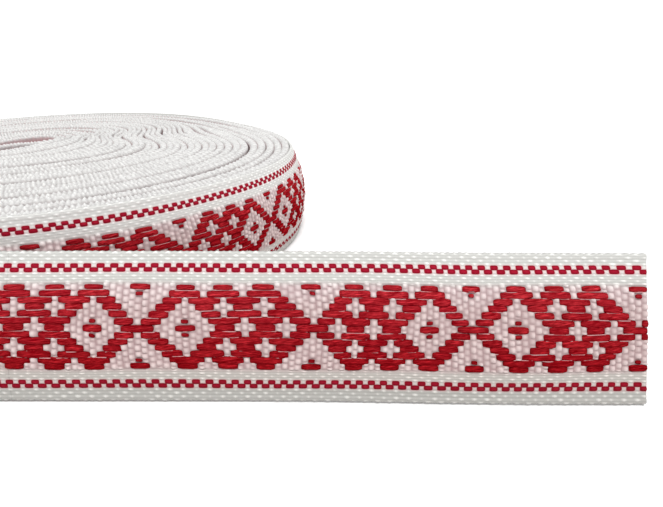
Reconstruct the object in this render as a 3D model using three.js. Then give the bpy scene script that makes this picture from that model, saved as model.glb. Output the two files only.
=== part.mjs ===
// A length of woven folk ribbon wound on edge into a flat roll, its free end led off along the front.
// Millimetres, +Z up. The roll lies on the table; +X runs along the free end and +Y away from the viewer.

import * as THREE from 'three';

// Ribbon
const ribbonWidth = 25.0;
const ribbonThickness = 1.2;
const turnPitch = 2.0;
const clearance = 0.3;

// Roll, seen from above: a slightly uneven round outline about one point, a flattened slit about another
const rollCentre = new THREE.Vector2(-30.3, 6.4);
const rollRadius = 75.2;
const outlineWaves = [
  { perTurn: 2, cosine: -0.12, sine: -4.48 },
  { perTurn: 3, cosine: 0.36, sine: -0.91 },
  { perTurn: 4, cosine: 1.22, sine: -0.05 },
];
const leaveAngle = THREE.MathUtils.degToRad(245);
const stepAngle = THREE.MathUtils.degToRad(0.35);
const turnShareInside = 0.25;
const slitCentre = new THREE.Vector2(-43.7, 9.7);
const slitHalfLength = 16;
const slitHalfWidth = 2.2;
const slitTilt = THREE.MathUtils.degToRad(78);

// Roll, seen from the side: the outer turns belly out, lowest third most, and draw in towards the rim
const bellyOut = 2.3;
const bellyHeight = 10;
const bellyCurve = 0.0165;
const rimDrawnIn = -0.5;
const edgeRounding = 0.6;
const sideHeights = [0.6, 3, 6, 10, 14, 18, 22, 24.4];

// Roll, from above: the turns in groups with a groove between each two, and arcs where they stand apart.
// groove counts from 0 next to the slit; middle and halfSpan are degrees round the roll
const grooveCount = 10;
const grooveDepth = 0.8;
const grooveHalfWidthShare = 0.014;
const slackGaps = [
  { groove: 9, middle: 25, halfSpan: 48, depth: 1.6 },
  { groove: 8, middle: 312, halfSpan: 66, depth: 2.4 },
  { groove: 7, middle: 60, halfSpan: 75, depth: 1.4 },
  { groove: 6, middle: 200, halfSpan: 50, depth: 1.2 },
  { groove: 5, middle: 345, halfSpan: 55, depth: 1.8 },
  { groove: 3, middle: 110, halfSpan: 70, depth: 1.6 },
  { groove: 1, middle: 262, halfSpan: 60, depth: 2.0 },
];
const topUnevenness = 0.45;
const topWaves = [
  { perTurn: 2, towardsRim: 5 },
  { perTurn: 3, towardsRim: -9 },
];
const columnCount = 88;

// Free end: where it becomes straight, where it is cut, and how far it leans back towards the roll
const straightFrom = new THREE.Vector2(4.6, -80.6);
const cutEndX = 109.9;
const leanBack = THREE.MathUtils.degToRad(23.6);
const leadOut = 27;
const leadIn = 24;
const leanStartsAt = 0.1;
const bellyEndsAt = 0.45;
const frontWave = 0.5;
const frontWaveMiddle = 70;
const frontWaveLength = 18;
const convexBow = 0.5;
const curveSteps = 22;
const straightSteps = 18;
const acrossSteps = 5;

// Distance of the outermost turn's face from the roll's centre: a circle, its slow waves and the spiral's
// growth. turnFraction runs from 0, where the free end has just left, to 1, where it leaves
function outlineRadius(angle, turnFraction) {
  let radius = rollRadius + turnPitch * (turnFraction - turnShareInside);
  for (const wave of outlineWaves) {
    radius += wave.cosine * Math.cos(wave.perTurn * angle) + wave.sine * Math.sin(wave.perTurn * angle);
  }
  return radius;
}

// How far the side stands out from the outline at a height: a parabola, held back near the rim
function sideOffset(height) {
  return Math.max(bellyOut - bellyCurve * (height - bellyHeight) ** 2, rimDrawnIn);
}

function outlinePoint(angle, offset, turnFraction) {
  const radius = outlineRadius(angle, turnFraction) + offset;
  return new THREE.Vector2(Math.cos(angle), Math.sin(angle)).multiplyScalar(radius).add(rollCentre);
}

// A point of the flattened slit in the middle: an ellipse turned by slitTilt
function slitPoint(angle) {
  const along = slitHalfLength * Math.cos(angle - slitTilt);
  const across = slitHalfWidth * Math.sin(angle - slitTilt);
  return new THREE.Vector2(along, across).rotateAround(new THREE.Vector2(), slitTilt).add(slitCentre);
}

// Depth of a groove at an angle: shallow all round, deeper in the middle of an arc where the turns part
function depthOfGroove(groove, angle) {
  let depth = grooveDepth;
  for (const gap of slackGaps.filter((row) => row.groove === groove)) {
    const degrees = THREE.MathUtils.radToDeg(angle) - gap.middle;
    const fromMiddle = Math.abs(THREE.MathUtils.euclideanModulo(degrees + 180, 360) - 180);
    if (fromMiddle < gap.halfSpan) {
      depth += gap.depth * Math.cos((fromMiddle / gap.halfSpan) * (Math.PI / 2));
    }
  }
  return depth;
}

// Height of the turns' upper edges: up to the ribbon's width, and slowly uneven
function topHeight(turnShare, angle) {
  let sunkShare = 1;
  for (const wave of topWaves) {
    sunkShare += Math.sin(wave.perTurn * angle + wave.towardsRim * turnShare) / topWaves.length;
  }
  return ribbonWidth - topUnevenness * sunkShare;
}

// The rows of the top face from the rim inwards, three to each groove: its two lips and its floor
function topRows() {
  const rows = [];
  for (let groove = grooveCount - 1; groove >= 0; groove -= 1) {
    const turnShare = (groove + 0.5) / grooveCount;
    rows.push({ turnShare: turnShare + grooveHalfWidthShare });
    rows.push({ turnShare, groove });
    rows.push({ turnShare: turnShare - grooveHalfWidthShare });
  }
  return rows;
}

// The triangles of the band between two rings of a ring list, numbered ring by ring
function bandBetween(ring, nextRing, count) {
  const indices = [];
  for (let corner = 0; corner < count; corner += 1) {
    const nextCorner = (corner + 1) % count;
    const a = ring * count + corner;
    const b = ring * count + nextCorner;
    const c = nextRing * count + nextCorner;
    const d = nextRing * count + corner;
    indices.push(a, b, c, a, c, d);
  }
  return indices;
}

function geometryFrom(rings, indices) {
  const positions = rings.flat().flatMap((point) => point.toArray());
  const geometry = new THREE.BufferGeometry();
  geometry.setAttribute('position', new THREE.Float32BufferAttribute(positions, 3));
  geometry.setIndex(indices);
  geometry.computeVertexNormals();
  return geometry;
}

// A closed surface from rings of points: each ring joins the next, and the last ring joins the first
function closedRings(rings) {
  const indices = rings.flatMap((_, ring) => bandBetween(ring, (ring + 1) % rings.length, rings[0].length));
  return geometryFrom(rings, indices);
}

function rollColumns() {
  const columns = [];
  for (let index = 0; index <= columnCount; index += 1) {
    const share = index / columnCount;
    const angle = leaveAngle + stepAngle + share * (2 * Math.PI - stepAngle);
    columns.push({ angle, turnFraction: share });
  }
  return columns;
}

// The wound form: flat underneath, bellied at the side, with slack gaps on top and the slit right through
function rollGeometry() {
  const columns = rollColumns();
  const ringAt = (place) => columns.map(place);
  const outer = (height, inset) => ringAt(({ angle, turnFraction }) => {
    const point = outlinePoint(angle, sideOffset(height) - inset, turnFraction);
    return new THREE.Vector3(point.x, point.y, height);
  });
  const top = ({ turnShare, groove }) => ringAt(({ angle, turnFraction }) => {
    const rim = outlinePoint(angle, rimDrawnIn - edgeRounding, turnFraction);
    const point = slitPoint(angle).lerp(rim, turnShare);
    const sunk = groove === undefined ? 0 : depthOfGroove(groove, angle);
    return new THREE.Vector3(point.x, point.y, topHeight(turnShare, angle) - sunk);
  });
  const slitFoot = ringAt(({ angle }) => new THREE.Vector3(...slitPoint(angle).toArray(), 0));
  const rings = [slitFoot, outer(0, edgeRounding)];
  for (const height of sideHeights) {
    rings.push(outer(height, 0));
  }
  const rows = [{ turnShare: 1 }, ...topRows(), { turnShare: 0 }];
  return closedRings([...rings, ...rows.map(top)]);
}

// The free end's route on the table: off the roll on its tangent, one bend, then straight to the cut
function freeEndRoute() {
  const rootAngle = leaveAngle + stepAngle + clearance / rollRadius;
  const middleOffset = sideOffset(bellyHeight) - ribbonThickness / 2;
  const root = outlinePoint(rootAngle, middleOffset, 1);
  const beyond = outlinePoint(rootAngle + stepAngle, middleOffset, 1 + stepAngle / (2 * Math.PI));
  const heading = beyond.clone().sub(root).normalize();
  const bend = new THREE.CubicBezierCurve(
    root,
    root.clone().addScaledVector(heading, leadOut),
    straightFrom.clone().sub(new THREE.Vector2(leadIn, 0)),
    straightFrom,
  );
  const stations = [];
  for (let step = 0; step <= curveSteps; step += 1) {
    const share = step / curveSteps;
    stations.push({
      point: bend.getPoint(share),
      heading: bend.getTangent(share),
      leanShare: THREE.MathUtils.smoothstep(share, leanStartsAt, 1),
      bellyShare: 1 - THREE.MathUtils.smoothstep(share, 0, bellyEndsAt),
    });
  }
  for (let step = 1; step <= straightSteps; step += 1) {
    const x = THREE.MathUtils.lerp(straightFrom.x, cutEndX, step / straightSteps);
    const wave = -frontWave * Math.tanh((x - frontWaveMiddle) / frontWaveLength) - frontWave;
    stations.push({
      point: new THREE.Vector2(x, straightFrom.y + wave),
      heading: new THREE.Vector2(1, 0),
      leanShare: 1,
      bellyShare: 0,
    });
  }
  return stations;
}

// One section of the free end: up its inner face and down its outer face, standing flat on the table
function freeEndSection({ point, heading, leanShare, bellyShare }) {
  const lean = leanBack * leanShare;
  const inward = new THREE.Vector2(-heading.y, heading.x);
  const ring = [];
  for (const [side, order] of [[1, 1], [-1, -1]]) {
    for (let row = 0; row <= acrossSteps; row += 1) {
      const up = ribbonWidth * (order > 0 ? row : acrossSteps - row) / acrossSteps;
      const fromMiddle = up - ribbonWidth / 2;
      const belly = (sideOffset(up) - sideOffset(bellyHeight)) * bellyShare;
      const bow = convexBow * (1 - bellyShare) * (1 - (2 * fromMiddle / ribbonWidth) ** 2);
      const across = side * ribbonThickness / 2 - belly - bow;
      const height = up === 0 ? 0 : up * Math.cos(lean) - across * Math.sin(lean);
      const back = fromMiddle * Math.sin(lean) + across * Math.cos(lean);
      const place = point.clone().addScaledVector(inward, back);
      ring.push(new THREE.Vector3(place.x, place.y, height));
    }
  }
  return ring;
}

// A closed solid from sections along a route: a band between each two, and a row of triangles over each end
function sectionsToSolid(rings) {
  const count = rings[0].length;
  const indices = rings.slice(1).flatMap((_, ring) => bandBetween(ring, ring + 1, count));
  const last = (rings.length - 1) * count;
  for (let row = 0; row < acrossSteps; row += 1) {
    const opposite = count - 1 - row;
    indices.push(row, opposite, row + 1, row + 1, opposite, opposite - 1);
    indices.push(last + row, last + row + 1, last + opposite);
    indices.push(last + row + 1, last + opposite - 1, last + opposite);
  }
  return geometryFrom(rings, indices);
}

const wovenRibbon = new THREE.Group();

const roll = new THREE.Mesh(
  rollGeometry(),
  new THREE.MeshStandardMaterial({ color: 0xebe9e8, roughness: 0.85, metalness: 0 }),
);
roll.name = 'ribbon_roll';
wovenRibbon.add(roll);

const freeEnd = new THREE.Mesh(
  sectionsToSolid(freeEndRoute().map(freeEndSection)),
  new THREE.MeshStandardMaterial({ color: 0xb01228, roughness: 0.7, metalness: 0 }),
);
freeEnd.name = 'ribbon_loose_end';
wovenRibbon.add(freeEnd);

export default wovenRibbon;
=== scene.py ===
# A length of woven folk ribbon wound on edge into a flat roll, its free end led off along the front.
# Shapes are worked out in millimetres and put into the meshes in metres. +X runs along the free end,
# +Y away from the viewer and +Z up, as in the solids that the pieces stand for.

import math

import bpy
import numpy as np
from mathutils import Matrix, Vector


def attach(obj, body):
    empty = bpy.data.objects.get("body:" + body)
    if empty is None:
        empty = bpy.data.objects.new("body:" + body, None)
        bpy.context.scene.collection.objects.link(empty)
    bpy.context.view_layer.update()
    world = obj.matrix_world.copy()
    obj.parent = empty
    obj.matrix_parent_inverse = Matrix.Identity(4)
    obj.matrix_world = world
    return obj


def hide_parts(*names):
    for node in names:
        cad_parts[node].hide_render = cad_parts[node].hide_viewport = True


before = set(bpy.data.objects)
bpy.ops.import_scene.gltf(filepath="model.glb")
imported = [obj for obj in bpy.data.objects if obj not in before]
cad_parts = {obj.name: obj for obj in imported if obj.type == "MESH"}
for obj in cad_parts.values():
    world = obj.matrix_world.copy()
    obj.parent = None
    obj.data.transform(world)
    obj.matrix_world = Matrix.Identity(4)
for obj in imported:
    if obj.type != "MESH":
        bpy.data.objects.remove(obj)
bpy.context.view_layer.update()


# Viewpoint: low in front of the free end, looking over it at the roll, with a wide lens.
PICTURE_WIDTH = 663
FOCAL_PIXELS = 480
SENSOR_WIDTH = 36.0
VIEWPOINT = (0.0581, -0.1494, 0.0547)
PITCHED_DOWN = math.radians(23.62)

camera_data = bpy.data.cameras.new("viewpoint")
camera_data.sensor_fit = "HORIZONTAL"
camera_data.sensor_width = SENSOR_WIDTH
camera_data.lens = SENSOR_WIDTH * FOCAL_PIXELS / PICTURE_WIDTH
camera_data.clip_start = 0.005
camera = bpy.data.objects.new("viewpoint", camera_data)
camera.location = VIEWPOINT
camera.rotation_euler = (math.pi / 2 - PITCHED_DOWN, 0, 0)
bpy.context.scene.collection.objects.link(camera)
bpy.context.scene.camera = camera


# Table and light: a plain white table in a studio that is white at the level of the eye and dimmer
# above, with one far, softened light high over the front, so that each yarn is lit from above.
TABLE_HALF_SIDE = 3.0
TABLE_HEIGHT = -0.0001
HORIZON_STRENGTH = 1.1
CEILING_STRENGTH = 0.55
HORIZON_BAND = (0.10, 0.25)
LAMP_STRENGTH = 2.25
LAMP_SOFTNESS = math.radians(24)
LAMP_PLACE = Vector((0.2, -0.42, 1.49))

bpy.context.scene.view_settings.view_transform = "Standard"
studio = bpy.data.worlds.new("studio")
studio.use_nodes = True
studio_nodes = studio.node_tree
direction = studio_nodes.nodes.new("ShaderNodeTexCoord")
level = studio_nodes.nodes.new("ShaderNodeSeparateXYZ")
studio_nodes.links.new(direction.outputs["Generated"], level.inputs[0])
above_or_below = studio_nodes.nodes.new("ShaderNodeMath")
above_or_below.operation = "ABSOLUTE"
studio_nodes.links.new(level.outputs["Z"], above_or_below.inputs[0])
brightness = studio_nodes.nodes.new("ShaderNodeMapRange")
for socket, value in enumerate((*HORIZON_BAND, HORIZON_STRENGTH, CEILING_STRENGTH), start=1):
    brightness.inputs[socket].default_value = value
studio_nodes.links.new(above_or_below.outputs[0], brightness.inputs[0])
studio_nodes.nodes["Background"].inputs["Color"].default_value = (1, 1, 1, 1)
studio_nodes.links.new(brightness.outputs[0], studio_nodes.nodes["Background"].inputs["Strength"])
bpy.context.scene.world = studio

lamp_data = bpy.data.lights.new("broad_lamp", "SUN")
lamp_data.angle = LAMP_SOFTNESS
lamp_data.energy = LAMP_STRENGTH
lamp = bpy.data.objects.new("broad_lamp", lamp_data)
lamp.location = LAMP_PLACE
lamp.rotation_euler = (-LAMP_PLACE).to_track_quat("-Z", "Y").to_euler()
bpy.context.scene.collection.objects.link(lamp)

side = TABLE_HALF_SIDE
table_mesh = bpy.data.meshes.new("table")
table_mesh.from_pydata(
    [(x, y, TABLE_HEIGHT) for x, y in ((-side, -side), (side, -side), (side, side), (-side, side))],
    [],
    [(0, 1, 2, 3)],
)
table_paint = bpy.data.materials.new("table_paint")
table_paint.use_nodes = True
table_paint.node_tree.nodes["Principled BSDF"].inputs["Base Color"].default_value = (1, 1, 1, 1)
table_paint.node_tree.nodes["Principled BSDF"].inputs["Roughness"].default_value = 0.9
table_mesh.materials.append(table_paint)
table = bpy.data.objects.new("table", table_mesh)
bpy.context.scene.collection.objects.link(table)


# Wound turns: the same ribbon, edge up, turned round a flattened slit some 37 times. From above only
# its selvedge shows, a row of white weft loops, one to a pick; where turns part, their pinkish backs.
RIBBON_WIDTH = 25.0
RIBBON_THICKNESS = 1.2
PICK = 1.055
TURNS = 37.0
OUTER_TURN_GROWTH = 2.0
OVERLAP_TURNS = 0.06
ROLL_CENTRE = np.array([-30.3, 6.4])
ROLL_RADIUS = 75.2
OUTLINE_WAVES = ((2, -0.12, -4.48), (3, 0.36, -0.91), (4, 1.22, -0.05))
LEAVE_ANGLE = math.radians(245)
STEP_ANGLE = math.radians(0.35)
TURN_SHARE_INSIDE = 0.25
SLIT_CENTRE = np.array([-49.0, 11.3])
SLIT_HALF_LENGTH = 14.5
SLIT_HALF_WIDTH = 4.6
SLIT_TILT = math.radians(60)
RIM_INSET = 0.5 + RIBBON_THICKNESS / 2
SLIT_WALL = 1.0
FLATTENED_MOST = 8.0
FLATTENED_AT = math.radians(22)
FLATTENED_SPAN = math.radians(22)
# Arcs where two turns part: share of the way from slit to rim, middle and half span in degrees, gap
PARTINGS = (
    (0.98, 4, 8, 0.2),
    (0.90, 10, 28, 0.4),
    (0.86, 8, 11, 0.5),
    (0.85, 330, 60, 0.5),
    (0.81, 28, 32, 0.6),
    (0.77, 26, 34, 0.8),
    (0.69, 24, 32, 0.65),
    (0.61, 26, 36, 0.7),
    (0.54, 24, 32, 0.6),
    (0.51, 325, 42, 0.7),
    (0.38, 312, 40, 0.7),
    (0.23, 320, 30, 0.8),
    (0.72, 112, 60, 1.2),
    (0.86, 75, 55, 0.9),
    (0.94, 60, 45, 0.7),
    (0.33, 110, 45, 1.8),
    (0.20, 24, 20, 0.9),
    (0.29, 34, 18, 0.9),
    (0.36, 34, 14, 0.9),
    (0.02, 318, 36, 7.0),
)
PARTED_RISE = 0.25
TOP_UNEVENNESS = 0.45
SAMPLES_A_TURN = 720


def outline_radius(angle, turn_fraction):
    """Circle, plus its slow waves (cosine and sine parts), plus the spiral's growth over one turn."""
    radius = ROLL_RADIUS + OUTER_TURN_GROWTH * (turn_fraction - TURN_SHARE_INSIDE)
    for per_turn, cosine, sine in OUTLINE_WAVES:
        radius = radius + cosine * np.cos(per_turn * angle) + sine * np.sin(per_turn * angle)
    return radius


def unit(angle):
    return np.stack([np.cos(angle), np.sin(angle)], axis=-1)


def slit_point(angle):
    """Ellipse about the slit's centre, turned by the slit's tilt."""
    along = SLIT_HALF_LENGTH * np.cos(angle - SLIT_TILT)
    across = SLIT_HALF_WIDTH * np.sin(angle - SLIT_TILT)
    tilt = unit(np.array(SLIT_TILT))
    return SLIT_CENTRE + along[..., None] * tilt + across[..., None] * np.array([-tilt[1], tilt[0]])


def rim_to_slit(angle):
    """Rim point, direction outward from the slit to it, and the distance between the two."""
    rim = ROLL_CENTRE + (outline_radius(angle, TURN_SHARE_INSIDE) - RIM_INSET)[..., None] * unit(angle)
    reach = rim - slit_point(angle)
    distance = np.linalg.norm(reach, axis=-1)
    return rim, reach / distance[..., None], distance


def wrapped(angle):
    return np.mod(angle + np.pi, 2 * np.pi) - np.pi


def smooth_share(value, start, end):
    """0 before start and 1 after end, with a smooth cubic step between."""
    share = np.clip((value - start) / (end - start), 0, 1)
    return share * share * (3 - 2 * share)


def pressed_in(share, angle):
    """How far inner turns are pressed in on one side: a bell over the angle, none at slit and rim."""
    pressed = FLATTENED_MOST * smooth_share(1 - share, 0, 0.3) * smooth_share(share, 0, 0.5)
    return pressed * np.exp(-((wrapped(angle - FLATTENED_AT) / FLATTENED_SPAN) ** 2))


def wound_path(turns_left):
    """Plan point of the ribbon's middle, the share of the way to the rim, the angle there, the space
    for one turn, and how much higher it stands.

    Inset from the rim: two millimetres a turn for the last turn, then equal steps to the slit. Turns
    are pressed in on one side, and pushed apart along each parting; at the back, the turns outside a
    parting stand higher than those inside it.
    """
    angle = LEAVE_ANGLE - 2 * np.pi * turns_left
    rim, outward, distance = rim_to_slit(angle)
    first_inset = OUTER_TURN_GROWTH * (1 - TURN_SHARE_INSIDE - 0.5)
    step = (distance - SLIT_WALL - first_inset) / (TURNS - 1)
    inset = first_inset + (turns_left - 1) * step
    share = 1 - inset / distance
    moved = -pressed_in(share, angle)
    room = step + pressed_in(share - step / distance, angle) - pressed_in(share, angle)
    higher = 0 * share
    for gap_share, middle, half_span, gap in PARTINGS:
        from_middle = wrapped(angle - math.radians(middle))
        fade = np.clip(1 - (from_middle / math.radians(half_span)) ** 2, 0, 1)
        number = turns_left + from_middle / (2 * np.pi)
        at_middle = np.array(math.radians(middle))
        _, _, middle_distance = rim_to_slit(at_middle)
        middle_step = (middle_distance - SLIT_WALL - first_inset) / (TURNS - 1)
        wanted = 1 + ((1 - gap_share) * middle_distance - first_inset) / middle_step
        offset = np.mod((LEAVE_ANGLE - math.radians(middle)) / (2 * np.pi), 1)
        parted = offset + np.floor(wanted - offset) + 0.5
        beyond = np.abs(number - parted) - 0.5
        pushed = gap * fade * np.sign(parted - number)
        moved = moved + 0.5 * pushed * np.exp(-np.clip(beyond, 0, None) / 3)
        at_back = np.clip(np.sin(angle), 0, 1)
        higher = higher + PARTED_RISE * at_back * pushed * np.exp(-np.clip(beyond, 0, None) / 1.5)
    return rim - (inset - moved)[..., None] * outward, share, angle, room, higher


def cell_chance(column, row):
    """A steady share from 0 to 1 for each crossing of a pick and a row, as if drawn by chance: the
    part after the point of a large multiple of a sine."""
    return np.mod(np.sin(column * 12.9898 + row * 78.233) * 43758.5453, 1.0)


def uneven_line(length, step, size, seed):
    """Seeded random heights at even steps along a length, joined by a smooth line."""
    dice = np.random.default_rng(seed)
    knots = np.arange(0, length.max() + 2 * step, step)
    heights = dice.normal(0, size, len(knots))
    place = length / step
    low = np.floor(place).astype(int)
    part = place - low
    part = part * part * (3 - 2 * part)
    return heights[low] * (1 - part) + heights[low + 1] * part


def tubes_object(name, points, uv, attributes, material):
    """A mesh of closed tubes from points[tube, station, corner], each ring joined to the next and both
    ends capped. The corners run so that the faces look outward; points are in millimetres."""
    tubes, stations, corners = points.shape[:3]
    number = np.arange(tubes * stations * corners).reshape(tubes, stations, corners)
    following = np.roll(number, -1, axis=2)
    quads = np.stack([number[:, :-1], following[:, :-1], following[:, 1:], number[:, 1:]], axis=-1)
    quads = quads.reshape(-1, 4)
    caps = np.concatenate([number[:, 0, ::-1], number[:, -1]], axis=0)
    corner_vertices = np.concatenate([quads.ravel(), caps.ravel()])
    starts = np.concatenate(
        [np.arange(len(quads)) * 4, len(quads) * 4 + np.arange(len(caps)) * corners]
    )
    mesh = bpy.data.meshes.new(name)
    mesh.vertices.add(number.size)
    mesh.vertices.foreach_set("co", (points * 0.001).astype(np.float32).ravel())
    mesh.loops.add(len(corner_vertices))
    mesh.loops.foreach_set("vertex_index", corner_vertices.astype(np.int32))
    mesh.polygons.add(len(starts))
    mesh.polygons.foreach_set("loop_start", starts.astype(np.int32))
    smooth = np.ones(len(starts), dtype=bool)
    smooth[len(quads):] = False
    mesh.polygons.foreach_set("use_smooth", smooth)
    mesh.update(calc_edges=True)
    layer = mesh.uv_layers.new(name="weave")
    layer.data.foreach_set("uv", uv.reshape(-1, 2)[corner_vertices].astype(np.float32).ravel())
    for attribute_name, values in attributes.items():
        attribute = mesh.attributes.new(attribute_name, "FLOAT", "POINT")
        attribute.data.foreach_set("value", values.astype(np.float32).ravel())
    mesh.materials.append(material)
    made = bpy.data.objects.new(name, mesh)
    bpy.context.scene.collection.objects.link(made)
    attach(made, "root")
    return made


def linear(red, green, blue):
    """The linear colour of a red, green and blue from 0 to 255."""
    part = np.array([red, green, blue]) / 255
    part = np.where(part <= 0.04045, part / 12.92, ((part + 0.055) / 1.055) ** 2.4)
    return (*part, 1.0)


def new_node(tree, kind, inputs=None, **settings):
    made = tree.nodes.new(kind)
    for name, value in settings.items():
        setattr(made, name, value)
    for key, value in (inputs or {}).items():
        if isinstance(value, bpy.types.NodeSocket):
            tree.links.new(value, made.inputs[key])
        else:
            made.inputs[key].default_value = value
    return made


def arithmetic(tree, operation, first, second=0.0, third=0.0):
    node = new_node(tree, "ShaderNodeMath", {0: first, 1: second, 2: third}, operation=operation)
    return node.outputs[0]


def ramp(tree, value, start, end, first=0.0, last=1.0):
    """A number that goes evenly from first to last as the value goes from start to end."""
    node = new_node(tree, "ShaderNodeMapRange", {0: value, 1: start, 2: end, 3: first, 4: last})
    return node.outputs[0]


def blended(tree, share, first, second, how="MIX"):
    """Colour from first to second, or to the two multiplied, as share goes from 0 to 1."""
    node = new_node(tree, "ShaderNodeMix", {"Factor": share}, data_type="RGBA", blend_type=how)
    for socket, value in ((node.inputs[6], first), (node.inputs[7], second)):
        if isinstance(value, bpy.types.NodeSocket):
            tree.links.new(value, socket)
        else:
            socket.default_value = value
    return node.outputs[2]


def cloth_material(name, roughness):
    """A new cloth material, its tree, its shader, and the weave's two coordinates: picks along the
    ribbon, millimetres across it."""
    material = bpy.data.materials.new(name)
    material.use_nodes = True
    tree = material.node_tree
    shader = tree.nodes["Principled BSDF"]
    shader.inputs["Roughness"].default_value = roughness
    shader.inputs["Specular IOR Level"].default_value = 0.15
    place = new_node(tree, "ShaderNodeUVMap", uv_map="weave").outputs[0]
    parts = new_node(tree, "ShaderNodeSeparateXYZ", {0: place})
    return material, tree, shader, place, parts.outputs[0], parts.outputs[1]


def selvedge_material(name, back_colour):
    """White cotton: painted shade greys it in the hollows between loops; its own colour on the backs, a
    fine grain.
    """
    material, tree, shader, place, _, _ = cloth_material(name, 0.85)
    hollow = new_node(tree, "ShaderNodeAttribute", attribute_name="hollow").outputs["Fac"]
    back = new_node(tree, "ShaderNodeAttribute", attribute_name="back").outputs["Fac"]
    stretched = new_node(tree, "ShaderNodeMapping", {"Vector": place, "Scale": (1.0, 3.0, 1.0)}).outputs[0]
    cloudy = new_node(tree, "ShaderNodeTexNoise", {"Vector": stretched, "Scale": 0.09, "Detail": 3.0})
    grain = new_node(tree, "ShaderNodeTexNoise", {"Vector": stretched, "Scale": 2.2, "Detail": 3.0})
    spread = new_node(tree, "ShaderNodeMapping", {"Vector": place, "Scale": (1.0, 0.6, 1.0)}).outputs[0]
    fluff = new_node(tree, "ShaderNodeTexNoise", {"Vector": spread, "Scale": 1.9, "Detail": 2.0})
    dimmed = ramp(tree, fluff.outputs["Fac"], 0.42, 0.66, 0.0, 0.34)
    white = blended(tree, cloudy.outputs["Fac"], linear(254, 254, 252), linear(248, 248, 246))
    white = blended(tree, dimmed, white, linear(186, 184, 184))
    # Painted shade: the hollow attribute greys the white where the loops and the walls between turns lie
    # in shade.
    shaded = blended(tree, hollow, white, linear(194, 191, 190))
    coloured = blended(tree, back, shaded, linear(*back_colour))
    tree.links.new(coloured, shader.inputs["Base Color"])
    sunk = {"Height": dimmed, "Strength": 0.8, "Distance": 0.0004}
    sunk_bump = new_node(tree, "ShaderNodeBump", sunk, invert=True)
    grainy = {"Height": grain.outputs["Fac"], "Strength": 0.8, "Distance": 0.00016}
    bump = new_node(tree, "ShaderNodeBump", {**grainy, "Normal": sunk_bump.outputs[0]})
    tree.links.new(bump.outputs[0], shader.inputs["Normal"])
    shader.inputs["Sheen Weight"].default_value = 0.05
    return material


# Profile over the selvedge from the inner foot to the outer foot: share of the half width, drop below
# the top in millimetres (None is the foot), how much the loops lift it, and how much of the back shows
TURN_PROFILE = (
    (-1.0, None, 0.0, 1.0),
    (-1.0, 3.2, 0.0, 1.0),
    # At 0.9 mm down both faces are still white border: the back colour given at these two shoulders is
    # painted red light reflected from the cloth beside them.
    (-1.0, 0.9, -0.4, 0.3),
    (-0.7, 0.26, -1.0, 0.0),
    (0.0, 0.0, 0.35, 0.0),
    (0.7, 0.26, 1.0, 0.0),
    (1.0, 0.9, 0.4, 0.05),
    (1.0, 3.2, 0.0, 0.85),
    (1.0, None, 0.0, 0.9),
)
LOOP_HEIGHT = 0.16
LOOP_BRICK = 0.2
TURN_HEIGHT_WANDER = 0.13
TURN_HEIGHT_SLOW_WANDER = 0.26
TURN_SIDE_WANDER = 0.12
PICK_WANDER = 0.45
RIDGE_SHARE = 0.48
RIDGE_NARROWEST = 0.66
RIDGE_WIDEST = 1.6

turns_left = np.arange(TURNS, OVERLAP_TURNS + 1 - 0.5 / SAMPLES_A_TURN, -1 / SAMPLES_A_TURN)
path, to_rim, path_angle, path_room, path_higher = wound_path(turns_left)
path_length = np.concatenate([[0], np.cumsum(np.linalg.norm(np.diff(path, axis=0), axis=1))])
wound_length = path_length[-1]
half_picks = np.arange(0, wound_length / PICK - 1, 0.5)
pick_wander = uneven_line(half_picks * PICK, 9.0, PICK_WANDER, 14)
column_length = np.clip((half_picks + pick_wander) * PICK, 0, wound_length)


def along_path(values):
    return np.interp(column_length, path_length, values)


middle = np.stack([along_path(path[:, 0]), along_path(path[:, 1])], axis=1)
heading = np.gradient(middle, axis=0)
heading = heading / np.linalg.norm(heading, axis=1)[:, None]
outward = np.stack([heading[:, 1], -heading[:, 0]], axis=1)
column_share = along_path(to_rim)
column_angle = along_path(path_angle)
column_pick = half_picks
ridge_half_width = np.clip(RIDGE_SHARE * along_path(path_room), RIDGE_NARROWEST, RIDGE_WIDEST)
top_height = RIBBON_WIDTH - TOP_UNEVENNESS * (
    1
    + np.sin(2 * column_angle + 5 * column_share) / 2
    + np.sin(3 * column_angle - 9 * column_share) / 2
)
top_height = top_height + uneven_line(column_length, 34.0, TURN_HEIGHT_WANDER, 11)
top_height = top_height + uneven_line(column_length, 105.0, TURN_HEIGHT_SLOW_WANDER, 15)
top_height = np.minimum(top_height + along_path(path_higher), RIBBON_WIDTH - 0.05)
sideways = uneven_line(column_length, 21.0, TURN_SIDE_WANDER, 12)
pick_jitter = uneven_line(column_length, PICK / 2, 0.05, 13)
crest = np.cos(2 * np.pi * column_pick) * (0.55 + 0.9 * cell_chance(np.round(column_pick), 3))
brick = np.cos(np.pi * column_pick)
profile_share = np.array([row[0] for row in TURN_PROFILE])
profile_drop = np.array([np.nan if row[1] is None else row[1] for row in TURN_PROFILE])
profile_lift = np.array([row[2] for row in TURN_PROFILE])
profile_back = np.array([row[3] for row in TURN_PROFILE])
is_top = np.abs(profile_lift) > 0
half_width = np.where(is_top, ridge_half_width[:, None], RIBBON_THICKNESS / 2)
across = profile_share * half_width + sideways[:, None]
loop = LOOP_HEIGHT * crest[:, None] * is_top + LOOP_BRICK * brick[:, None] * profile_lift
height = top_height[:, None] - profile_drop + loop + pick_jitter[:, None] * is_top
height = np.where(np.isnan(profile_drop), 0.02, height)
turn_points = np.concatenate(
    [middle[:, None, :] + across[..., None] * outward[:, None, :], height[..., None]], axis=2
)
turn_uv = np.stack(
    np.broadcast_arrays(column_pick[:, None], np.linspace(0, 6, len(profile_share))), axis=-1
)
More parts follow.
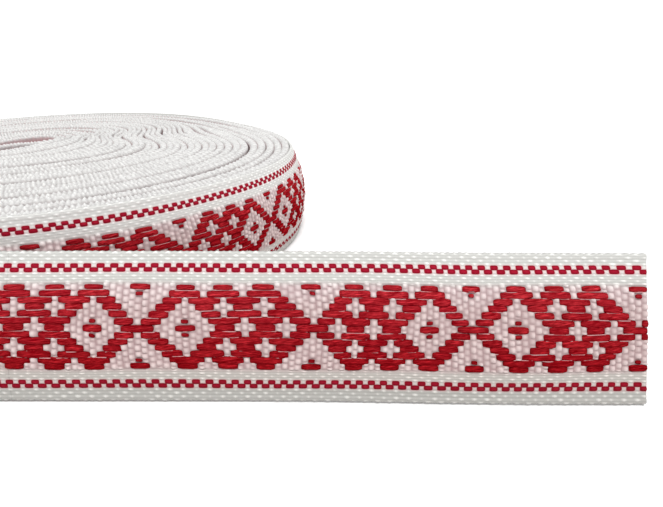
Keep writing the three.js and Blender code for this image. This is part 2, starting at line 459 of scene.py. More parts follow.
# Painted shade, read by the material: greyer between loop crests and bricks, much greyer down the walls
# between turns.
hollow = 0.5 - 0.35 * crest[:, None] - 0.35 * brick[:, None] * profile_lift
hollow = np.clip(hollow + 0.7 * (profile_drop > 0.3), 0, 1)
back_shows = np.broadcast_to(profile_back, hollow.shape)

selvedge = selvedge_material("selvedge_cotton", (222, 158, 164))
halfway = int(len(column_length) * 0.52)
for turns_name, first, last in (
    ("wound_turns_inner", 0, halfway),
    ("wound_turns_outer", halfway - 1, len(column_length)),
):
    turns = tubes_object(
        turns_name,
        turn_points[None, first:last],
        turn_uv[None, first:last],
        {"hollow": hollow[None, first:last], "back": back_shows[None, first:last]},
        selvedge,
    )
    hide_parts("ribbon_roll")


# Outermost turn: the same ribbon, its pattern side out, bellied a little where the roll has settled.
# The base is white: fine plain weave at the borders, coarser in the pattern, two rows of red dashes.
BELLY_OUT = 2.3
BELLY_HEIGHT = 10.0
BELLY_CURVE = 0.0165
RIM_DRAWN_IN = -1.5
CLEARANCE = 0.3
# Rows of warp from the upper edge down, in bands: kind, how many rows, millimetres a row. The rows
# of the pattern differ a little in height
BORDER, DASHES, PLAIN, PATTERN = range(4)
BANDS = (
    (BORDER, 4, 0.525),
    (DASHES, 2, 0.675),
    (PLAIN, 4, 0.4625),
    (PATTERN, 13, None),
    (PLAIN, 4, 0.45),
    (DASHES, 2, 0.675),
    (BORDER, 4, 0.5875),
)
PATTERN_HEIGHTS = (1.13, 1.15, 1.06, 1.11, 1.18, 1.14, 1.17, 1.08, 1.03, 1.11, 1.01, 0.98, 1.05)
PATTERN_ROWS = 13
HALF_REPEAT = 26
# Where the red lies over the front (#, and s for a single stitch), in rows from the middle one to the
# outer one and in picks from one crossing to the next; it is mirrored about both
HALF_CHART = (
    "###...###...###...###...###",
    ".###...s...#####.#####.###.",
    "..###.....###.#####.#####..",
    "...###...###...###...###...",
    "....###.#####.#####.###....",
    "s....#####.#####.#####....s",
    "##....###...###...###....##",
)
GROUND_HALF_THICKNESS = 0.36
SELVEDGE_BEAD = 0.16
SELVEDGE_LOOP = 0.06
BRICK_HEIGHT = 0.4
# By kind of row: how high the warp stands where it is up and the weft beside it, in millimetres, and
# the power that draws the warp's bump to a point along the ribbon
WARP_HEIGHTS = (0.22, 0.26, 0.21, 0.0)
WEFT_HEIGHTS = (0.08, 0.11, 0.08, 0.0)
WARP_POINTEDNESS = (1.3, 0.6, 1.3, 1.0)
# Where the pattern's crossings lie on the roll: millimetres round from its front, and pick number
ROLL_CROSSINGS = ((31.1, 0), (59.7, 26), (86.0, 52), (113.5, 78))
LOOSE_END_PITCH = 1.09
NEAR_ENDS_AT = math.radians(10)

row_heights = np.concatenate(
    [PATTERN_HEIGHTS if each is None else [each] * rows for _, rows, each in BANDS]
)
row_edges = np.concatenate([[0], np.cumsum(row_heights)])
row_kind = np.repeat([kind for kind, _, _ in BANDS], [rows for _, rows, _ in BANDS])
first_pattern_row = int(np.argmax(row_kind == PATTERN))
pattern_row_centres = (row_edges[:-1] + row_edges[1:])[row_kind == PATTERN] / 2


def side_offset(height):
    """How far the side stands out: a parabola about the belly's height, held back near the rim."""
    return np.maximum(BELLY_OUT - BELLY_CURVE * (height - BELLY_HEIGHT) ** 2, RIM_DRAWN_IN)


def pick_waver(pick, across):
    """Picks don't run quite straight across: two slow waves, in picks."""
    slow = 0.2 * np.sin(pick / 7.3 + across / 4.3)
    return slow + 0.13 * np.sin(pick / 3.1 - across / 6.1 + 1.0)


def row_waver(pick, across):
    """Rows wander a little up and down, not at the selvedges, in millimetres."""
    inside = np.sin(np.pi * np.clip(across / RIBBON_WIDTH, 0, 1))
    return 0.12 * inside * np.sin(pick / 5.7 + across / 3.0)


chart_marks = np.array([list(line) for line in HALF_CHART])


def red_over(pick, pattern_row):
    """Whether red lies over the front at a whole pick and a pattern row, by the chart."""
    column = np.mod(pick, 2 * HALF_REPEAT).astype(int)
    column = np.where(column > HALF_REPEAT, 2 * HALF_REPEAT - column, column)
    line = np.abs(np.clip(pattern_row, 0, PATTERN_ROWS - 1) - PATTERN_ROWS // 2)
    return chart_marks[line, column] != "."


def ground_lift(pick, across, behind=False):
    """Relief of the white base, in millimetres above the thread's plane, and how deep in a hollow.

    In the bands each row of warp goes over one pick and under the next. Where it is up it makes a
    bump, a power of a cosine along times one of a sine across; elsewhere the weft lies lower, half
    of it level and half a sine across. In the pattern the weft lies over the warp: a bump a pick
    wide and a row tall, every other pick set half a row lower. Bumps differ by chance, and are
    pressed flat under the red.
    """
    row = np.clip(np.searchsorted(row_edges, across, side="right") - 1, 0, len(row_kind) - 1)
    kind = row_kind[row]
    share = (across - row_edges[row]) / row_heights[row]
    nearest = np.round(pick)
    along_bump = np.cos(np.pi * np.clip(pick - nearest, -0.5, 0.5))
    across_bump = np.sin(np.pi * np.clip(share, 0, 1))
    warp_up = np.mod(nearest + row + (row > first_pattern_row + PATTERN_ROWS), 2) < 0.5
    weft = np.choose(kind, WEFT_HEIGHTS) * (0.5 + 0.5 * across_bump)
    warp = np.choose(kind, WARP_HEIGHTS) * along_bump ** np.choose(kind, WARP_POINTEDNESS)
    warp = warp * warp_up * across_bump ** 0.9
    plain = np.maximum(weft, warp * (0.6 + 0.7 * cell_chance(nearest, row)))
    brick_place = row + share + 0.5 * np.mod(nearest, 2) + 0.3 * (cell_chance(nearest, 71) - 0.5)
    brick_bump = np.sin(np.pi * np.mod(brick_place, 1))
    leant = pick - nearest - 0.34 * (cell_chance(nearest, np.floor(brick_place) + 40) - 0.5)
    leant_bump = np.cos(np.pi * np.clip(leant, -0.5, 0.5))
    brick = BRICK_HEIGHT * leant_bump ** 0.85 * brick_bump ** 0.75
    brick = brick * (0.55 + 0.8 * cell_chance(nearest, np.floor(brick_place)))
    pressed = red_over(nearest, row - first_pattern_row) != behind
    lift = np.where(kind == PATTERN, np.where(pressed, 0.1 * brick, brick), plain)
    # How deep in a hollow, which the materials paint as shade.
    hollow = 1 - np.clip(lift / np.where(kind == PATTERN, 0.34, 0.2), 0, 1)
    return lift, hollow


def half_thickness(edge):
    """Half the cloth's thickness by the distance from the nearer selvedge: a round nose, a little
    thicker just inside it, where the weft turns back."""
    nose = np.sqrt(1 - np.clip(1 - edge / 0.5, 0, 1) ** 2)
    return nose * (GROUND_HALF_THICKNESS + SELVEDGE_BEAD * np.exp(-(((edge - 0.5) / 0.55) ** 2)))


def woven_ground(pick, place, across_front, across_back):
    """Points, coordinates and attributes of the white base between the first and last pick: down the
    front over its relief, round the lower selvedge, and up the back."""
    front_lift, front_hollow = ground_lift(pick[:, None], across_front[None, :])
    front_edge = np.minimum(across_front, RIBBON_WIDTH - across_front)
    front = half_thickness(front_edge) + front_lift * np.clip(front_edge / 0.4, 0.3, 1)
    back_lift, back_hollow = ground_lift(pick[:, None], across_back[None, :], behind=True)
    back_edge = np.minimum(across_back, RIBBON_WIDTH - across_back)
    back = -half_thickness(back_edge) - 0.6 * back_lift
    loops = SELVEDGE_LOOP * (np.cos(2 * np.pi * pick) + cell_chance(np.round(pick), 5) - 0.5)
    across_all = np.concatenate([across_front, across_back])
    outward_edge = np.where(across_all < 0.6, -1.0, np.where(across_all > RIBBON_WIDTH - 0.6, 1.0, 0.0))
    across_grid = across_all[None, :] + loops[:, None] * outward_edge[None, :]
    lift = np.concatenate([front, back], axis=1)
    pick_grid = np.broadcast_to(pick[:, None], lift.shape)
    points = place(pick_grid, across_grid, lift)
    uv = np.stack([pick_grid, np.broadcast_to(across_all, lift.shape)], axis=-1)
    hollow = np.concatenate([front_hollow, back_hollow], axis=1)
    back_shows = np.broadcast_to(
        np.concatenate([np.zeros(len(across_front)), np.ones(len(across_back))]), lift.shape
    )
    return points, uv, {"hollow": hollow, "back": back_shows}


def front_rows(fine, coarse, dashed):
    """Places across the front: so many to each fine row, each pattern row and each dashed row."""
    places = []
    samples = {BORDER: fine, DASHES: dashed, PLAIN: fine, PATTERN: coarse}
    for row, kind in enumerate(row_kind):
        low, high = row_edges[row], row_edges[row + 1]
        places.append(low + (high - low) * (np.arange(samples[kind]) + 0.02) / samples[kind])
    places = np.concatenate(places)
    return np.concatenate([[0.0], places[places > 0.05], [RIBBON_WIDTH]])


def back_rows(count):
    return RIBBON_WIDTH - (np.arange(count) + 0.5) * RIBBON_WIDTH / count


turns_past_root = (STEP_ANGLE + CLEARANCE / ROLL_RADIUS) / (2 * np.pi)
outer_samples = np.linspace(1 + OVERLAP_TURNS, -turns_past_root, 4001)
outer_angle = LEAVE_ANGLE - 2 * np.pi * outer_samples
outer_radius = outline_radius(outer_angle, 1 - outer_samples)
outer_path = ROLL_CENTRE + outer_radius[:, None] * unit(outer_angle)
outer_length = np.concatenate([[0], np.cumsum(np.linalg.norm(np.diff(outer_path, axis=0), axis=1))])
front_most = np.interp(math.radians(-90), outer_angle, outer_length)
round_from_front = outer_length - front_most


# Route of the loose end, needed here for the pattern to run on from the roll: off the roll on its
# tangent, one bend as a cubic curve, then straight to the cut, with a slight wave in the straight part.
STRAIGHT_FROM = np.array([4.6, -80.6])
CUT_END_X = 109.9
LEAN_BACK = math.radians(23.6)
LEAD_OUT = 27.0
LEAD_IN = 24.0
LEAN_STARTS_AT = 0.1
BELLY_ENDS_AT = 0.45
FRONT_WAVE = 0.5
FRONT_WAVE_MIDDLE = 70.0
FRONT_WAVE_LENGTH = 18.0
CONVEX_BOW = 1.3
CUT_FLATTENED = 0.8
CUT_FLATTENED_OVER = 22.0
# Where the pattern's crossings lie along the straight part: X in millimetres, and pick number
END_CROSSINGS = ((26.5, 0), (54.9, 26), (81.25, 52), (108.5, 78))


def root_point(angle, turn_fraction):
    radius = outline_radius(angle, turn_fraction) + BELLY_OUT - RIBBON_THICKNESS / 2
    return ROLL_CENTRE + radius * unit(np.array(angle))


root_angle = LEAVE_ANGLE + STEP_ANGLE + CLEARANCE / ROLL_RADIUS
root = root_point(root_angle, 1.0)
root_heading = root_point(root_angle + STEP_ANGLE, 1 + STEP_ANGLE / (2 * np.pi)) - root
root_heading = root_heading / np.linalg.norm(root_heading)
bend_share = np.linspace(0, 1, 401)
b = bend_share[:, None]
bend_corners = (
    root,
    root + LEAD_OUT * root_heading,
    STRAIGHT_FROM - np.array([LEAD_IN, 0]),
    STRAIGHT_FROM,
)
bend = (
    (1 - b) ** 3 * bend_corners[0]
    + 3 * (1 - b) ** 2 * b * bend_corners[1]
    + 3 * (1 - b) * b ** 2 * bend_corners[2]
    + b ** 3 * bend_corners[3]
)
straight_x = np.linspace(STRAIGHT_FROM[0], CUT_END_X, 401)[1:]
wave_share = np.tanh((straight_x - FRONT_WAVE_MIDDLE) / FRONT_WAVE_LENGTH)
straight_y = STRAIGHT_FROM[1] - FRONT_WAVE * (wave_share + 1)
end_path = np.concatenate([bend, np.stack([straight_x, straight_y], axis=1)])
end_length = np.concatenate([[0], np.cumsum(np.linalg.norm(np.diff(end_path, axis=0), axis=1))])
end_heading = np.gradient(end_path, end_length, axis=0)
end_heading = end_heading / np.linalg.norm(end_heading, axis=1)[:, None]
straight_ones = np.ones(len(straight_x))
end_lean = LEAN_BACK * np.concatenate([smooth_share(bend_share, LEAN_STARTS_AT, 1), straight_ones])
end_belly = np.concatenate([1 - smooth_share(bend_share, 0, BELLY_ENDS_AT), 0 * straight_ones])

# Pick numbers run on without a break from the roll to the loose end: the number at the loose end's
# first crossing is a whole number of repeats, the nearest that the length of the roll allows
crossing_x = np.array([x for x, _ in END_CROSSINGS])
crossing_pick = np.array([pick for _, pick in END_CROSSINGS], dtype=float)
crossing_length = np.interp(crossing_x, end_path[:, 0], end_length)
root_pick = crossing_pick[0] - crossing_length[0] / LOOSE_END_PITCH
roll_mm = np.array([mm for mm, _ in ROLL_CROSSINGS])
roll_picks = np.array([pick for _, pick in ROLL_CROSSINGS], dtype=float)
natural_end = roll_picks[-1] + (round_from_front[-1] - roll_mm[-1]) / PICK
whole_repeats = np.round((natural_end - root_pick) / (2 * HALF_REPEAT)) * 2 * HALF_REPEAT
end_pick_table = np.concatenate([[root_pick], crossing_pick]) + whole_repeats
end_length_table = np.concatenate([[0], crossing_length])
first_roll_pick = roll_picks[0] + (round_from_front[0] - roll_mm[0]) / PICK
roll_length_table = np.concatenate([[round_from_front[0]], roll_mm, [round_from_front[-1]]])
roll_pick_table = np.concatenate([[first_roll_pick], roll_picks, [end_pick_table[0]]])
last_end_pick = end_pick_table[-1] + (end_length[-1] - end_length_table[-1]) / LOOSE_END_PITCH


def on_outer_turn(pick, across, lift):
    """Place on the outermost turn of a point so many picks along, millimetres across from the upper
    edge, and millimetres out from the thread's plane, along the bellied side's own normal."""
    placed = np.clip(pick + pick_waver(pick, across), roll_pick_table[0], roll_pick_table[-1])
    length = np.interp(placed, roll_pick_table, roll_length_table)
    angle = np.interp(length, round_from_front, outer_angle)
    height = RIBBON_WIDTH - across + row_waver(pick, across)
    slope = np.where(side_offset(height) > RIM_DRAWN_IN, -2 * BELLY_CURVE * (height - BELLY_HEIGHT), 0)
    steep = np.sqrt(1 + slope ** 2)
    turn_fraction = 1 - (LEAVE_ANGLE - angle) / (2 * np.pi)
    radius = outline_radius(angle, turn_fraction) + side_offset(height) - RIBBON_THICKNESS / 2
    radius = radius + lift / steep
    x = ROLL_CENTRE[0] + radius * np.cos(angle)
    y = ROLL_CENTRE[1] + radius * np.sin(angle)
    z = np.clip(height - lift * slope / steep, 0.02, None)
    return np.stack([x, y, z], axis=-1)


UPPER_DASH_HALF_SHARE = 0.31
LOWER_DASH_HALF_SHARE = 0.34
DASH_HALF_WIDTH = 0.41
# Painted shade, multiplied in: below the upper border, and again near the lower edge.
LOWER_PAINTED_SHADE = (0.81, 0.76, 0.74, 1)
LOWEST_PAINTED_SHADE = (0.87, 0.91, 0.92, 1)
# Where the colours change over, in millimetres: from the nearer edge to the pattern's, and from the
# upper edge to each painted shade
PATTERN_COLOURS_OVER = (4.9, 5.9)
LOWER_PAINTED_SHADE_OVER = (3.5, 9.5)
LOWEST_PAINTED_SHADE_OVER = (20.5, 23.5)


def ground_material(name, border, middle):
    """White cotton with two rows of red dashes near each edge. Border and middle are each a pair of
    colours, on the bumps and in the hollows, the hollow colours a painted shade. It is pinkish beside
    the dashes and behind the pattern; it is darker and warmer below the upper border, and darker again
    but cooler near the lower edge, a painted shade down the ribbon.

    A dash fills about two thirds of two picks: even picks in one row of a pair, odd in the other.
    """
    material, tree, shader, place, pick, across = cloth_material(name, 0.8)
    hollow = new_node(tree, "ShaderNodeAttribute", attribute_name="hollow").outputs["Fac"]
    back = new_node(tree, "ShaderNodeAttribute", attribute_name="back").outputs["Fac"]
    from_middle = arithmetic(tree, "ABSOLUTE", arithmetic(tree, "SUBTRACT", across, RIBBON_WIDTH / 2))
    from_edge = arithmetic(tree, "SUBTRACT", RIBBON_WIDTH / 2, from_middle)
    shifted = arithmetic(tree, "ADD", pick, back)
    dashed, tinged = 0.0, 0.0
    for row in np.flatnonzero(row_kind == DASHES):
        centre = (row_edges[row] + row_edges[row + 1]) / 2
        upper = row_kind[row - 1] != DASHES
        phase = 0.5 if upper else 0.0
        turned = arithmetic(tree, "ADD", arithmetic(tree, "MULTIPLY", shifted, 0.5), phase)
        along = arithmetic(tree, "SUBTRACT", arithmetic(tree, "FRACT", turned), 0.5)
        half_share = UPPER_DASH_HALF_SHARE if upper else LOWER_DASH_HALF_SHARE
        along = arithmetic(tree, "ABSOLUTE", arithmetic(tree, "DIVIDE", along, half_share))
        crosswise = arithmetic(tree, "SUBTRACT", across, centre)
        crosswise = arithmetic(tree, "ABSOLUTE", arithmetic(tree, "DIVIDE", crosswise, DASH_HALF_WIDTH))
        rounded = arithmetic(
            tree, "ADD", arithmetic(tree, "POWER", along, 4.0), arithmetic(tree, "POWER", crosswise, 4.0)
        )
        dashed = arithmetic(tree, "MAXIMUM", dashed, ramp(tree, rounded, 0.75, 1.25, 1.0, 0.0))
        tinged = arithmetic(tree, "MAXIMUM", tinged, ramp(tree, rounded, 1.0, 5.0, 0.3, 0.0))
    in_pattern = ramp(tree, from_edge, *PATTERN_COLOURS_OVER)
    low = ramp(tree, across, *LOWER_PAINTED_SHADE_OVER)
    grain = new_node(tree, "ShaderNodeTexNoise", {"Vector": place, "Scale": 5.0, "Detail": 4.0})
    cloudy = new_node(tree, "ShaderNodeTexNoise", {"Vector": place, "Scale": 0.21, "Detail": 2.0})
    # Painted shade: the hollow attribute turns each white and the dashes' red to its shaded colour.
    border_white = blended(tree, hollow, linear(*border[0]), linear(*border[1]))
    middle_white = blended(tree, hollow, linear(*middle[0]), linear(*middle[1]))
    white = blended(tree, in_pattern, border_white, middle_white)
    white = blended(tree, tinged, white, linear(226, 120, 134))
    back_tint = arithmetic(tree, "MULTIPLY", arithmetic(tree, "MULTIPLY", back, in_pattern), 0.45)
    white = blended(tree, back_tint, white, linear(226, 150, 160))
    red_light = blended(tree, cloudy.outputs["Fac"], linear(172, 28, 50), linear(150, 18, 42))
    red = blended(tree, hollow, red_light, linear(122, 4, 26))
    coloured = blended(tree, dashed, white, red)
    # Painted shade down the ribbon: darker and warmer below the upper border, darker and cooler near the
    # lower edge.
    coloured = blended(tree, low, coloured, LOWER_PAINTED_SHADE, "MULTIPLY")
    lowest_shade = ramp(tree, across, *LOWEST_PAINTED_SHADE_OVER)
    coloured = blended(tree, lowest_shade, coloured, LOWEST_PAINTED_SHADE, "MULTIPLY")
    tree.links.new(coloured, shader.inputs["Base Color"])
    bump = new_node(
        tree, "ShaderNodeBump", {"Height": grain.outputs["Fac"], "Strength": 0.6, "Distance": 0.00008}
    )
    tree.links.new(bump.outputs[0], shader.inputs["Normal"])
    shader.inputs["Specular IOR Level"].default_value = 0.05
    return material


# Each pair: the white on the bumps, then its painted shade in the hollows.
roll_ground = ground_material(
    "roll_ground", ((254, 254, 251), (190, 189, 186)), ((246, 232, 232), (186, 164, 166))
)
first_column = math.ceil(roll_pick_table[0])
near_end_length = np.interp(NEAR_ENDS_AT, outer_angle, round_from_front)
near_end = round(float(np.interp(near_end_length, roll_length_table, roll_pick_table)))
near_columns = np.arange(first_column, near_end + 0.1, 0.25)
far_columns = np.append(np.arange(near_end, roll_pick_table[-1], 0.5), roll_pick_table[-1])
for turn_name, turn_pick, fronts, backs in (
    ("outermost_turn_near", near_columns, front_rows(3, 4, 4), back_rows(8)),
    ("outermost_turn_far", far_columns, front_rows(2, 2, 3), back_rows(6)),
):
    shape, uv, attributes = woven_ground(turn_pick, on_outer_turn, fronts, backs)
    attributes = {key: value[None] for key, value in attributes.items()}
    outer_turn = tubes_object(turn_name, shape[None], uv[None], attributes, roll_ground)
    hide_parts("ribbon_roll")


# Red pattern on the outermost turn: extra warp ends, two or three plump strands side by side, that
# float over three or five picks in thirteen rows and are tied down between, to a charted repeat.
FLOAT_STATIONS = np.array([-1.0, -0.9, -0.55, 0.55, 0.9, 1.0])
FLOAT_CORNERS = np.radians([172, 142, 90, 38, 8])
# Painted shade for the red floats lower on the ribbon, multiplied in.
LOWER_RED_PAINTED_SHADE = (0.66, 0.28, 0.33, 1)
# The first row of floats is narrower than the rest and lies a little lower, the last a little narrower
FIRST_ROW_NARROWER = 0.8
LAST_ROW_NARROWER = 0.9
FIRST_ROW_LOWER = 0.08
# Half a float's width, the height of its foot and how far it arches above that, in millimetres, and
# how far it stops short of its picks' edges, in picks
LONG_FLOAT = {"half_width": 0.64, "base": 0.3, "rise": 0.52, "overhang": -0.04}
SINGLE_STITCH = {"half_width": 0.36, "base": 0.48, "rise": 0.26, "overhang": 0.0}
# Millimetres down the ribbon over which the red darkens with painted shade
RED_PAINTED_SHADE_OVER = 15


def runs_of(mark, first_pick, last_pick):
    """Rows, first picks and last picks of every run of a mark in the chart, which starts from the
    middle row and from a crossing, and is mirrored about both, up and down and end to end."""
    picks = np.arange(math.ceil(first_pick), math.floor(last_pick) + 1)
    column = np.mod(picks, 2 * HALF_REPEAT)
    column = np.where(column > HALF_REPEAT, 2 * HALF_REPEAT - column, column)
    found = []
    for row in range(PATTERN_ROWS):
        line = np.array(list(HALF_CHART[abs(row - PATTERN_ROWS // 2)]))[column] == mark
        change = np.diff(np.concatenate([[0], line.astype(int), [0]]))
        begins = picks[0] + np.flatnonzero(change == 1)
        ends = picks[0] + np.flatnonzero(change == -1) - 1
        found.append(np.stack([np.full(len(begins), row), begins, ends], axis=1))
    return np.concatenate(found).astype(float)


def float_shapes(runs, place, seed, shaded_from, half_width, base, rise, overhang, facing=1.0):
    """Plump closed bundles, one to each run: an arch over the width with a flat underside. Towards
    both ends the height falls off as the root of one minus a power of the share of the way from the
    middle, and the width half as much; the power is the length in picks, two at least."""
    dice = np.random.default_rng(seed)
    count = len(runs)
    row_centre = pattern_row_centres[runs[:, 0].astype(int)] + dice.normal(0, 0.025, count)
    row_centre = row_centre + FIRST_ROW_LOWER * (runs[:, 0] == 0)
    narrower = np.where(runs[:, 0] == 0, FIRST_ROW_NARROWER, 1.0)
    narrower = np.where(runs[:, 0] == PATTERN_ROWS - 1, LAST_ROW_NARROWER, narrower)
    start = runs[:, 1] - 0.5 + overhang + dice.normal(0, 0.05, count)
    end = runs[:, 2] + 0.5 - overhang + dice.normal(0, 0.05, count)
    along = FLOAT_STATIONS[None, :, None]
    pick = (start + end)[:, None, None] / 2 + (end - start)[:, None, None] / 2 * along
    roundness = np.clip(end - start, 2, None)[:, None, None]
    taper = np.sqrt(np.clip(1.02 - np.abs(along) ** roundness, 0, 1))
    width = half_width * (0.5 + 0.5 * taper) * (narrower + dice.normal(0, 0.05, count))[:, None, None]
    arch = rise * (1 + dice.normal(0, 0.12, count))[:, None, None] * taper
    slant = dice.normal(0, 0.03, count)[:, None, None] * along
    across_share = np.concatenate([-np.cos(np.pi - FLOAT_CORNERS), [0.6, -0.6]]) * facing
    lift_share = np.concatenate([np.sin(FLOAT_CORNERS) ** 0.8, [0.0, 0.0]])
    sunk = np.concatenate([np.zeros(len(FLOAT_CORNERS)), [0.16, 0.16]])
    across = row_centre[:, None, None] + slant + width * across_share
    lift = (base + arch * lift_share - sunk) * facing
    pick = np.broadcast_to(pick, lift.shape)
    uv = np.stack(np.broadcast_arrays(pick, across_share * np.ones_like(pick)), axis=-1)
    shade = np.broadcast_to(dice.uniform(0, 1, count)[:, None, None], lift.shape)
    # Painted shade: the float darkens towards its edges and ends, carried in its hollow attribute.
    edge = np.broadcast_to(1 - taper * lift_share, lift.shape)
    # How far down the ribbon's painted shade has reached.
    low = np.clip((across - shaded_from) / RED_PAINTED_SHADE_OVER, 0, 1)
    return place(pick, across, lift), uv, {"shade": shade, "hollow": edge, "low": low}


def float_material():
    """Red cotton strands laid side by side: streaks of light and dark red drawn out along the float,
    the light streaks partly a painted highlight, each float a little different, darker towards its
    edges and ends and down the ribbon, a painted shade."""
    material, tree, shader, place, pick, across = cloth_material("red_floats", 0.6)
    shader.inputs["Specular IOR Level"].default_value = 0.0
    shade = new_node(tree, "ShaderNodeAttribute", attribute_name="shade").outputs["Fac"]
    hollow = new_node(tree, "ShaderNodeAttribute", attribute_name="hollow").outputs["Fac"]
    twisted = arithmetic(tree, "ADD", across, arithmetic(tree, "MULTIPLY", pick, 0.16))
    drawn_out = arithmetic(tree, "MULTIPLY", pick, 0.15)
    set_apart = arithmetic(tree, "MULTIPLY", shade, 40.0)
    drawn = new_node(tree, "ShaderNodeCombineXYZ", {0: drawn_out, 1: twisted, 2: set_apart})
    streaks = new_node(
        tree,
        "ShaderNodeTexNoise",
        {"Vector": drawn.outputs[0], "Scale": 4.4, "Detail": 5.0, "Roughness": 0.65},
    )
    strands = ramp(tree, streaks.outputs["Fac"], 0.39, 0.62)
    # The light streaks are lighter strands and also stand in for the strands' highlights: partly a painted
    # highlight.
    body = blended(tree, strands, linear(140, 0, 15), linear(252, 72, 82))
    body = blended(tree, arithmetic(tree, "MULTIPLY", shade, 0.35), body, linear(170, 8, 34))
    # Painted shade towards the float's edges and ends.
    coloured = blended(tree, arithmetic(tree, "MULTIPLY", hollow, 0.55), body, linear(112, 0, 14))
    # Painted shade lower on the ribbon.
    low = new_node(tree, "ShaderNodeAttribute", attribute_name="low").outputs["Fac"]
    coloured = blended(tree, low, coloured, LOWER_RED_PAINTED_SHADE, "MULTIPLY")
    tree.links.new(coloured, shader.inputs["Base Color"])
    bump = new_node(tree, "ShaderNodeBump", {"Height": strands, "Strength": 0.8, "Distance": 0.00022})
    tree.links.new(bump.outputs[0], shader.inputs["Normal"])
    return material


def floats_object(name, groups, node, material):
    """One object from several groups of float shapes, standing for a CAD node."""
    points = np.concatenate([shape for shape, _, _ in groups])
    uv = np.concatenate([coordinates for _, coordinates, _ in groups])
    attributes = {key: np.concatenate([group[2][key] for group in groups]) for key in groups[0][2]}
    made = tubes_object(name, points, uv, attributes, material)
    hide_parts(node)
    return made


# White ends of the base that show as thin lines in the grooves between some of the red rows
THREAD_AFTER_ROWS = np.array([0, 1, 3, 4, 6, 7, 9, 10])
THREAD_RADIUS = 0.08
THREAD_LIFT = 0.12
THREAD_LIFT_IN_RED = 0.53
THREAD_CORNERS = np.radians([162, 90, 18, -54, -126])


def thread_shapes(first_pick, last_pick, place, seed, stations_a_pick):
    """Round threads along the ribbon, one in each groove, that wander up, down and sideways a little."""
    pick = np.arange(first_pick, last_pick, 1 / stations_a_pick)
    grooves = row_edges[first_pattern_row + 1 + THREAD_AFTER_ROWS]
    along = pick - pick[0]
    seeds = range(seed, seed + len(grooves))
    rising = np.stack([uneven_line(along, 2.3, 0.07, each) for each in seeds])
    drifting = np.stack([uneven_line(along, 3.1, 0.05, each + 20) for each in seeds])
    across = (grooves[:, None] + drifting)[..., None] + THREAD_RADIUS * np.cos(THREAD_CORNERS)
    nearest = np.round(pick)[None, :]
    row_above = THREAD_AFTER_ROWS[:, None]
    between_red = red_over(nearest, row_above) & red_over(nearest, row_above + 1)
    resting = np.where(between_red, THREAD_LIFT_IN_RED, THREAD_LIFT)
    lift = (resting + rising)[..., None] + THREAD_RADIUS * np.sin(THREAD_CORNERS)
    picks = np.broadcast_to(pick[None, :, None], lift.shape)
    uv = np.stack([picks, across], axis=-1)
    nothing = np.zeros(lift.shape)
    # A fixed share of the material's painted hollow shade greys each thread.
    return place(picks, across, lift), uv, {"hollow": nothing + 0.3, "back": nothing + 0.7}


red_floats = float_material()
thread_cotton = selvedge_material("thread_cotton", (188, 92, 98))
floats_object(
    "outermost_turn_threads",
    [thread_shapes(near_columns[0] + 1, near_columns[-1], on_outer_turn, 40, 1)],
    "ribbon_roll",
    thread_cotton,
)
roll_runs = runs_of("#", roll_pick_table[0] + 1, roll_pick_table[-1] - 1)
roll_spots = runs_of("s", roll_pick_table[0] + 1, roll_pick_table[-1] - 1)
floats_object(
    "outermost_turn_floats",
    [
        float_shapes(roll_runs, on_outer_turn, seed=21, shaded_from=0.2, **LONG_FLOAT),
        float_shapes(roll_spots, on_outer_turn, seed=22, shaded_from=0.7, **SINGLE_STITCH),
    ],
    "ribbon_roll",
    red_floats,
)


# Loose end: the ribbon's free end, led off the roll, bent once and run straight along the front to a
# plain cut, leaning back a little. The same base cloth as the outermost turn, in a finer mesh.
# How far the picks slant by the two edges, in picks: at the root, the crossings and the cut
SLANT_UPPER = (0.0, -0.2, -0.8, -1.0, -1.5, 0.0)
SLANT_LOWER = (0.0, 0.6, -0.25, 0.1, -0.2, 0.0)
SLANT_FADES_BEFORE_CUT = 5.0


def pick_slant(pick, across):
    """Picks bend away towards the edges: by the square of the share of the way to the upper one, and
    evenly towards the lower one, as the two tables say along the loose end."""
    places = [*end_pick_table[:4], last_end_pick - SLANT_FADES_BEFORE_CUT, last_end_pick]
    upper_share = np.clip(1 - 2 * across / RIBBON_WIDTH, 0, 1)
    lower_share = np.clip(2 * across / RIBBON_WIDTH - 1, 0, 1)
    upper = np.interp(pick, places, SLANT_UPPER) * upper_share ** 2
    return upper + np.interp(pick, places, SLANT_LOWER) * lower_share


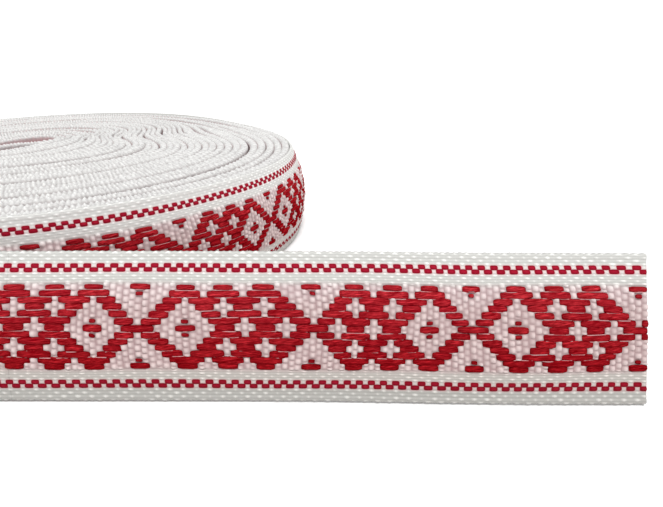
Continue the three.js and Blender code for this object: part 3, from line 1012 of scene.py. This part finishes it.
def on_loose_end(pick, across, lift):
    """Place on the loose end of a point so many picks along, millimetres across from the upper edge,
    and millimetres out from the thread's plane: the section leans back about the route and bows out."""
    before_cut = np.clip((last_end_pick - pick) / SLANT_FADES_BEFORE_CUT, 0, 1)
    wavered = pick + before_cut * pick_waver(pick, across) + pick_slant(pick, across)
    placed = np.clip(wavered, end_pick_table[0], last_end_pick)
    table_picks = np.append(end_pick_table, last_end_pick + 1e-6)
    table_lengths = np.append(end_length_table, end_length[-1])
    length = np.interp(placed, table_picks, table_lengths)
    x, y = np.interp(length, end_length, end_path[:, 0]), np.interp(length, end_length, end_path[:, 1])
    heading_x = np.interp(length, end_length, end_heading[:, 0])
    heading_y = np.interp(length, end_length, end_heading[:, 1])
    lean = np.interp(length, end_length, end_lean)
    belly_share = np.interp(length, end_length, end_belly)
    up = RIBBON_WIDTH - across + row_waver(pick, across)
    from_middle = up - RIBBON_WIDTH / 2
    belly = (side_offset(up) - BELLY_OUT) * belly_share
    near_cut = smooth_share(length, end_length[-1] - CUT_FLATTENED_OVER, end_length[-1])
    flattened = 1 - CUT_FLATTENED * near_cut
    bow = CONVEX_BOW * flattened * (1 - belly_share) * (1 - (2 * from_middle / RIBBON_WIDTH) ** 2)
    inward = -lift - belly - bow
    height = up * np.cos(lean) - inward * np.sin(lean)
    back = from_middle * np.sin(lean) + inward * np.cos(lean)
    return np.stack([x - heading_y * back, y + heading_x * back, np.clip(height, 0.02, None)], axis=-1)


bend_length = np.interp(bend[-1, 0], end_path[:, 0], end_length)
straight_from = round(float(bend_length / LOOSE_END_PITCH + end_pick_table[0]))
first_half_pick = math.ceil(end_pick_table[0] * 2) / 2
bend_columns = np.append(end_pick_table[0], np.arange(first_half_pick, straight_from + 0.1, 0.5))
straight_columns = np.append(np.arange(straight_from, last_end_pick, 0.25), last_end_pick)
# The same cloth as the roll's in darker colours: painted shade on the loose end.
end_ground = ground_material(
    "loose_end_ground", ((250, 250, 246), (166, 165, 161)), ((236, 222, 222), (184, 161, 163))
)
for end_name, end_pick, fronts in (
    ("loose_end_bend", bend_columns, front_rows(3, 4, 4)),
    ("loose_end_straight", straight_columns, front_rows(5, 8, 6)),
):
    shape, uv, attributes = woven_ground(end_pick, on_loose_end, fronts, back_rows(12))
    attributes = {key: value[None] for key, value in attributes.items()}
    loose_end = tubes_object(end_name, shape[None], uv[None], attributes, end_ground)
    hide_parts("ribbon_loose_end")


# Red pattern on the loose end: floats over the front as on the roll, and on its back the same red ends
# where the front is white, since each pattern end runs on one side or the other.
BACK_FLOAT = {"half_width": 0.5, "base": 0.3, "rise": 0.34, "overhang": 0.05, "facing": -1.0}
END_SHADED_FROM = 4.5

first_float = math.ceil(end_pick_table[0]) + 1
last_float = math.floor(last_end_pick + 0.5)
long_runs, stitches, back_runs = (runs_of(mark, first_float, last_float) for mark in "#s.")
end_floats = floats_object(
    "loose_end_floats",
    [
        float_shapes(long_runs, on_loose_end, seed=31, shaded_from=END_SHADED_FROM, **LONG_FLOAT),
        float_shapes(stitches, on_loose_end, seed=32, shaded_from=END_SHADED_FROM, **SINGLE_STITCH),
    ],
    "ribbon_loose_end",
    red_floats,
)
back_floats = floats_object(
    "loose_end_back_floats",
    [float_shapes(back_runs, on_loose_end, seed=33, shaded_from=END_SHADED_FROM, **BACK_FLOAT)],
    "ribbon_loose_end",
    red_floats,
)
end_threads = floats_object(
    "loose_end_threads",
    [thread_shapes(first_float, last_end_pick - 0.2, on_loose_end, 70, 2)],
    "ribbon_loose_end",
    thread_cotton,
)
